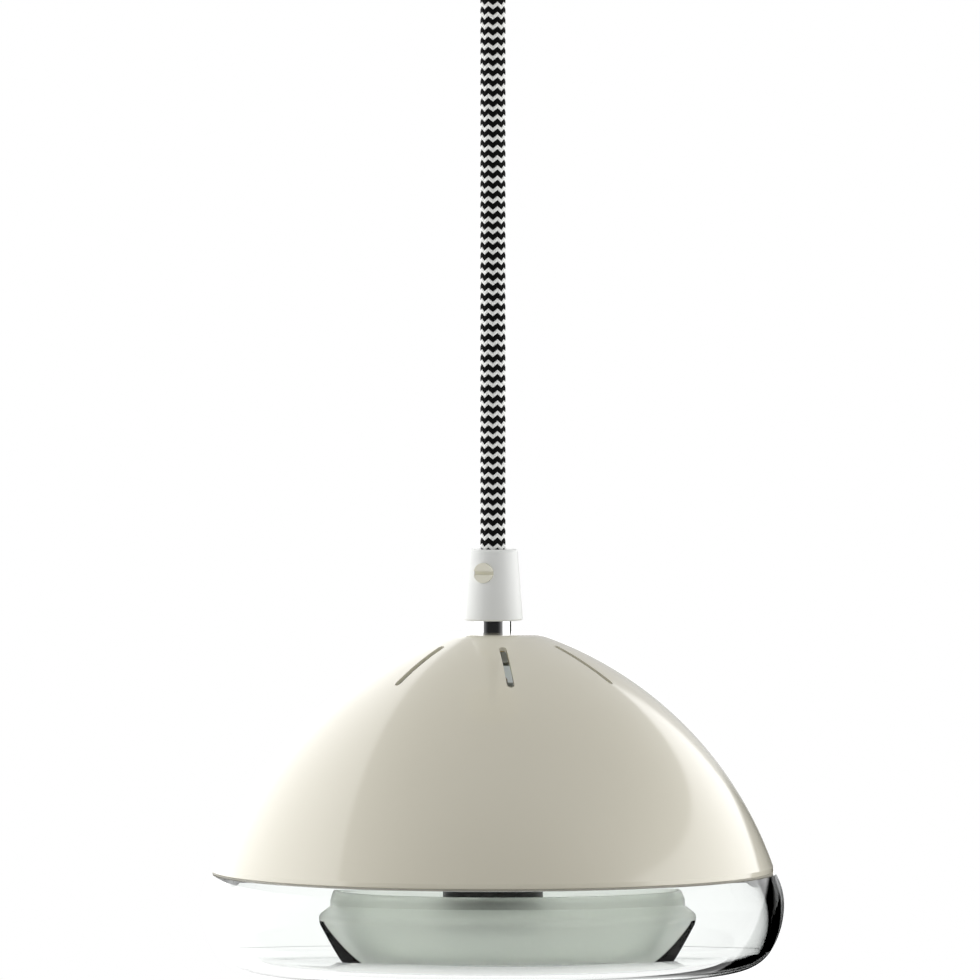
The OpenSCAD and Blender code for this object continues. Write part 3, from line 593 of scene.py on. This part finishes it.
def add_dome():
    hem_r = DOME_R - 2 * SHEET
    inner = [p for p in skin(SHEET) if p[1] > HEM]
    profile = [(NIPPLE_BORE, DOME_H)] + skin(0)
    profile += arc((DOME_R - LIP_EDGE, LIP_EDGE), LIP_EDGE, 0, -QUARTER, TINY_ARC)
    profile += [(hem_r, 0), (hem_r, HEM)]
    profile += list(reversed(inner)) + [(NIPPLE_BORE, DOME_H - SHEET)]
    dome = lathe("dome_shell", raised(profile, RIM), lacquer.material, DOME_SEGMENTS)
    cutters = add_vent_cutters()
    cut = dome.modifiers.new("vents", "BOOLEAN")
    cut.operation = "DIFFERENCE"
    cut.solver = "EXACT"
    cut.object = cutters
    apply_modifiers(dome)
    bpy.data.objects.remove(cutters)
    smooth_dome(dome.data)
    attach(dome, "lamp")
    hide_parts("dome")


add_dome()


# Glass bowl: heights are below the rim. Its wall thickens by WALL_GAIN of the height above
# GAIN_FROM; the gain starts to level off at GAIN_FADE and has done so at the rim.

BOWL_BULGE = 3 * MM
BOWL_DEPTH = 27.2 * MM
BULGE_DEPTH = 9.2 * MM
BOWL_CORNER = 11.5 * MM
BOWL_TURN = math.radians(31)
BOWL_WALL = 3.2 * MM
SHOULDER_LAP = 0.7 * MM
NECK_H = 8 * MM
GASKET = 0.55 * MM
NECK_GAP = 2 * MM
EDGE = 1 * MM
WALL_GAIN = 0.1
GAIN_FROM = -24 * MM
GAIN_FADE = -4 * MM
GAIN_TO = 0


def thickened(path, neck_in):
    """Inner outline of the bowl, moved inwards by a wall that thickens upwards."""
    moved = []
    for r, z in path:
        even = min(z, GAIN_FADE) - GAIN_FROM
        past = min(max(z, GAIN_FADE), GAIN_TO) - GAIN_FADE
        extra = WALL_GAIN * (even + past - past ** 2 / (2 * (GAIN_TO - GAIN_FADE)))
        moved.append((max(neck_in, r - extra), z))
    return moved


def add_bowl():
    bowl_r = DOME_R + BOWL_BULGE
    neck_r = DOME_R - 2 * SHEET - NECK_GAP
    neck_in = neck_r - BOWL_WALL
    step = (BOWL_BULGE - SHOULDER_LAP, BULGE_DEPTH - GASKET)
    upper = (step[0] ** 2 + step[1] ** 2) / (2 * step[0])
    drop = BOWL_DEPTH - BULGE_DEPTH - BOWL_CORNER * (1 - math.sin(BOWL_TURN))
    side = drop / math.sin(BOWL_TURN)
    upper_centre = (bowl_r - upper, -BULGE_DEPTH)
    lower_centre = (bowl_r - side, -BULGE_DEPTH)
    corner = (
        lower_centre[0] + (side - BOWL_CORNER) * math.cos(BOWL_TURN),
        lower_centre[1] - (side - BOWL_CORNER) * math.sin(BOWL_TURN),
    )
    shoulder = math.asin(step[1] / upper)
    foot = math.acos((neck_in - upper_centre[0]) / (upper - BOWL_WALL))
    neck_top = NECK_H - EDGE
    profile = [(0, -BOWL_DEPTH)]
    profile += arc(corner, BOWL_CORNER, -QUARTER, -BOWL_TURN)
    profile += arc(lower_centre, side, -BOWL_TURN, 0)
    profile += arc(upper_centre, upper, 0, shoulder)
    profile += [(neck_r, -GASKET)]
    profile += arc((neck_r - EDGE, neck_top), EDGE, 0, QUARTER, SHORT_ARC)
    profile += arc((neck_in + EDGE, neck_top), EDGE, QUARTER, math.pi, SHORT_ARC)
    inner = arc(upper_centre, upper - BOWL_WALL, foot, 0, LONG_ARC)
    inner += arc(lower_centre, side - BOWL_WALL, 0, -BOWL_TURN, LONG_ARC)
    profile += thickened(inner, neck_in)
    profile += arc(corner, BOWL_CORNER - BOWL_WALL, -BOWL_TURN, -QUARTER)
    profile += [(0, BOWL_WALL - BOWL_DEPTH)]
    bowl = lathe("clear_bowl", raised(profile, RIM), clear_glass.material)
    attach(bowl, "bowl")
    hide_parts("glass_bowl")


add_bowl()


# Satin dish: heights are above its base. FLOOR_GAP and FOOT_GAP keep glass faces apart that
# would otherwise lie in one plane.

DISH_R = 48.5 * MM
DISH_BASE_R = 46.3 * MM
SATIN_BASE_R = 42.2 * MM
DISH_FLOOR_R = 38.6 * MM
DISH_H = 20.4 * MM
DISH_WALL = 3 * MM
BEAD_OUT = 3.1 * MM
BEAD_R = 2 * MM
BEAD_H = 14.1 * MM
CORNER_R = 3 * MM
CORNER_END = math.radians(-40)
SIDE_R = 51.3 * MM
SIDE_H = 12.4 * MM
SLOPE = math.radians(-45)
BEAD_START = math.radians(-20)
NECK_FOOT = 1.5 * MM
FLARE = math.radians(45)
FLARE_H = 3.4 * MM
FLOOR_CORNER_R = 3 * MM
FLOOR_CORNER_IN = 1 * MM
FLOOR_CORNER_START = math.radians(-30)
FOOT_GAP = 0.05 * MM
DISH_SHIFT = 4 * MM
FLOOR_GAP = 0.1 * MM
DISH_FLOOR = RIM - BOWL_DEPTH + BOWL_WALL + FLOOR_GAP
BEAD = (DISH_R + BEAD_OUT - BEAD_R, BEAD_H)
SATIN_CORNER = (SATIN_BASE_R - CORNER_R, CORNER_R)


def add_satin_bowl():
    """The dish's etched body, with a slope where the clear wedge sits."""
    half_wall = DISH_WALL / 2
    floor_corner = (DISH_FLOOR_R - FLOOR_CORNER_IN, DISH_WALL + FLOOR_CORNER_R)
    profile = [(0, 0)]
    profile += arc(SATIN_CORNER, CORNER_R, -QUARTER, SLOPE, SHORT_ARC)
    profile += arc(BEAD, BEAD_R, SLOPE, FLARE, ROUND_ARC)
    profile += [(DISH_R, BEAD_H + FLARE_H)]
    profile += arc((DISH_R - half_wall, DISH_H - half_wall), half_wall, 0, math.pi, ROUND_ARC)
    profile += [(DISH_R - DISH_WALL, BEAD_H + NECK_FOOT)]
    profile += arc(floor_corner, FLOOR_CORNER_R, FLOOR_CORNER_START, -QUARTER, SHORT_ARC)
    profile += [(0, DISH_WALL)]
    dish = lathe("satin_bowl", raised(profile, DISH_FLOOR), satin_glass.material, shift=DISH_SHIFT)
    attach(dish, "dish")
    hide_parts("satin_dish")


def add_dish_foot():
    """The clear wedge round the dish's lower corner; its inner faces follow the satin slope."""
    corner = (DISH_BASE_R - CORNER_R, CORNER_R)
    outer = arc(corner, CORNER_R, -QUARTER, CORNER_END, SHORT_ARC) + [(SIDE_R, SIDE_H)]
    slope = arc(BEAD, BEAD_R, BEAD_START, SLOPE, SHORT_ARC)
    slope += arc(SATIN_CORNER, CORNER_R, SLOPE, -QUARTER, SHORT_ARC)
    wedge = raised(outer + [(r + FOOT_GAP, z) for r, z in slope], DISH_FLOOR)
    foot = lathe("dish_foot", wedge, foot_glass_painted_edge.material, shift=DISH_SHIFT)
    foot.data.materials.append(seat_glass.material)
    rings = [int(ring >= len(outer)) for ring in range(len(wedge)) for _ in range(SEGMENTS)]
    foot.data.polygons.foreach_set("material_index", rings)
    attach(foot, "dish")
    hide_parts("satin_dish")


add_satin_bowl()
add_dish_foot()


# Canopy

CANOPY_R = 42 * MM
CANOPY_EDGE = 12 * MM


def add_canopy():
    centre = (CANOPY_R - CANOPY_EDGE, CANOPY_FLOOR + CANOPY_EDGE)
    profile = [(NIPPLE_BORE, CANOPY_FLOOR)]
    profile += arc(centre, CANOPY_EDGE, -QUARTER, 0)
    profile += [(CANOPY_R, 0), (CANOPY_R - SHEET, 0)]
    profile += arc(centre, CANOPY_EDGE - SHEET, 0, -QUARTER)
    profile += [(NIPPLE_BORE, CANOPY_FLOOR + SHEET)]
    canopy = lathe("canopy_shell", unique(profile), lacquer.material)
    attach(canopy, "canopy")
    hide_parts("canopy")


add_canopy()


# Floor: far below the lamp, out of the picture

FLOOR_Z = -6.5
FLOOR_SIZE = 16
FLOOR_PALE = (0.9, 0.9, 0.9)
FLOOR_TONES = ((0.91, 0.91, 0.91), (0.89, 0.89, 0.89))
FLOOR_ROUGHNESS = 0.9
FLOOR_GRAIN = 0.5


def add_floor():
    """Pale matt floor; gloss and glass see it as a white light."""
    half = FLOOR_SIZE / 2
    corners = [(x * half, y * half, FLOOR_Z) for x, y in ((-1, -1), (1, -1), (1, 1), (-1, 1))]
    paint = Surface("floor_paint", FLOOR_PALE, FLOOR_ROUGHNESS)
    paint.mottle(*FLOOR_TONES, FLOOR_GRAIN)
    kit = paint.kit
    path = kit.add("ShaderNodeLightPath").outputs
    glow = kit.add("ShaderNodeEmission")
    shown = kit.add("ShaderNodeMixShader")
    kit.fill(shown.inputs["Fac"], kit.either(path["Is Glossy Ray"], path["Is Transmission Ray"]))
    kit.fill(shown.inputs[1], paint.shader.outputs["BSDF"])
    kit.fill(shown.inputs[2], glow.outputs["Emission"])
    kit.fill(kit.tree.nodes["Material Output"].inputs["Surface"], shown.outputs["Shader"])
    floor = add_mesh("floor", corners, [(0, 1, 2, 3)], [paint.material])


add_floor()


# The studio: a round bright wall at the left and behind, a low one at the right, dim elsewhere.
# FLAG is a dark patch behind to the right, which glass and gloss show as a black edge.

LEFT_WALL = (-0.828, 0.549, -0.11)
LEFT_EDGE = 0.489
DOWN = (0, 0, -1)
RIGHT_TOP = 0.5
RIGHT_SIDE = (0.927, -0.375, 0)
RIGHT_SOFT = 0.05
BEHIND = (0, 1, 0)
BEHIND_EDGE = -0.4
BEHIND_SOFT = 0.1
WALL_SOFT = 0.025
WALL_LIGHT = 2.0
BACK_LIGHT = 0.6
FRONT = (0, -1, -0.25)
FRONT_EDGE = 0.5
FRONT_SOFT = 0.4
FRONT_LIGHT = 0.45
FRONT_GLOSS = 0.02
BACKDROP = (-0.12, 0.99, 0)
BACKDROP_EDGE = 0.95
FLAG = (0.45, 0.87, -0.2)
FLAG_EDGE = 0.93
SHARP = 0.01
TO_LEFT = (-1, 0, 0)
TO_LEFT_EDGE = -0.15
TO_LEFT_SOFT = 0.05
NONE_YET = 0.5
TWO_FACES = 2.5


def studio_light(kit, ray, path, flag):
    """How bright the studio is along a ray."""
    low_wall = kit.both(
        kit.cone(ray, DOWN, -RIGHT_TOP, WALL_SOFT), kit.cone(ray, RIGHT_SIDE, 0, RIGHT_SOFT)
    )
    low_wall = kit.both(low_wall, kit.cone(ray, BEHIND, BEHIND_EDGE, BEHIND_SOFT))
    walls = kit.either(kit.cone(ray, LEFT_WALL, LEFT_EDGE, WALL_SOFT), low_wall)
    glossy = path["Is Glossy Ray"]
    front_gain = kit.maths("MULTIPLY_ADD", glossy, FRONT_GLOSS - FRONT_LIGHT, FRONT_LIGHT - BACK_LIGHT)
    front = kit.cone(ray, FRONT, FRONT_EDGE, FRONT_SOFT)
    dim = kit.maths("MULTIPLY_ADD", front, front_gain, BACK_LIGHT)
    bright = kit.maths("MULTIPLY_ADD", walls, WALL_LIGHT, kit.both(dim, kit.opposite(walls)))
    return kit.both(bright, kit.opposite(kit.both(flag, glossy)))


def add_world():
    """White for the camera and straight through glass, the studio for all other rays."""
    world = bpy.data.worlds.new("studio")
    world.use_nodes = True
    scene.world = world
    kit = Nodes(world.node_tree)
    ray = kit.add("ShaderNodeTexCoord").outputs["Generated"]
    path = kit.add("ShaderNodeLightPath").outputs
    flag = kit.cone(ray, FLAG, FLAG_EDGE, SHARP)
    bright = studio_light(kit, ray, path, flag)
    seen = path["Is Camera Ray"]
    undiffused = kit.maths("LESS_THAN", path["Diffuse Depth"], NONE_YET)
    through = kit.both(path["Is Transmission Ray"], undiffused)
    unreflected = kit.maths("LESS_THAN", path["Glossy Depth"], NONE_YET)
    few_faces = kit.maths("LESS_THAN", path["Transmission Depth"], TWO_FACES)
    many_faces = kit.maths("GREATER_THAN", path["Transmission Depth"], TWO_FACES)
    no_flag = kit.opposite(kit.both(flag, few_faces))
    backdrop = kit.cone(ray, BACKDROP, BACKDROP_EDGE, SHARP)
    white = kit.both(kit.either(kit.either(unreflected, backdrop), many_faces), no_flag)
    clear = kit.either(seen, kit.both(through, white))
    turned = kit.both(through, kit.opposite(unreflected))
    turned = kit.both(turned, kit.cone(ray, TO_LEFT, TO_LEFT_EDGE, TO_LEFT_SOFT))
    turned = kit.both(turned, kit.both(no_flag, kit.opposite(white)))
    lit = kit.either(kit.opposite(kit.either(seen, through)), turned)
    background = world.node_tree.nodes["Background"]
    kit.fill(background.inputs["Color"], (1, 1, 1, 1))
    kit.fill(background.inputs["Strength"], kit.maths("ADD", kit.both(bright, lit), clear))


add_world()
dress_nodes()
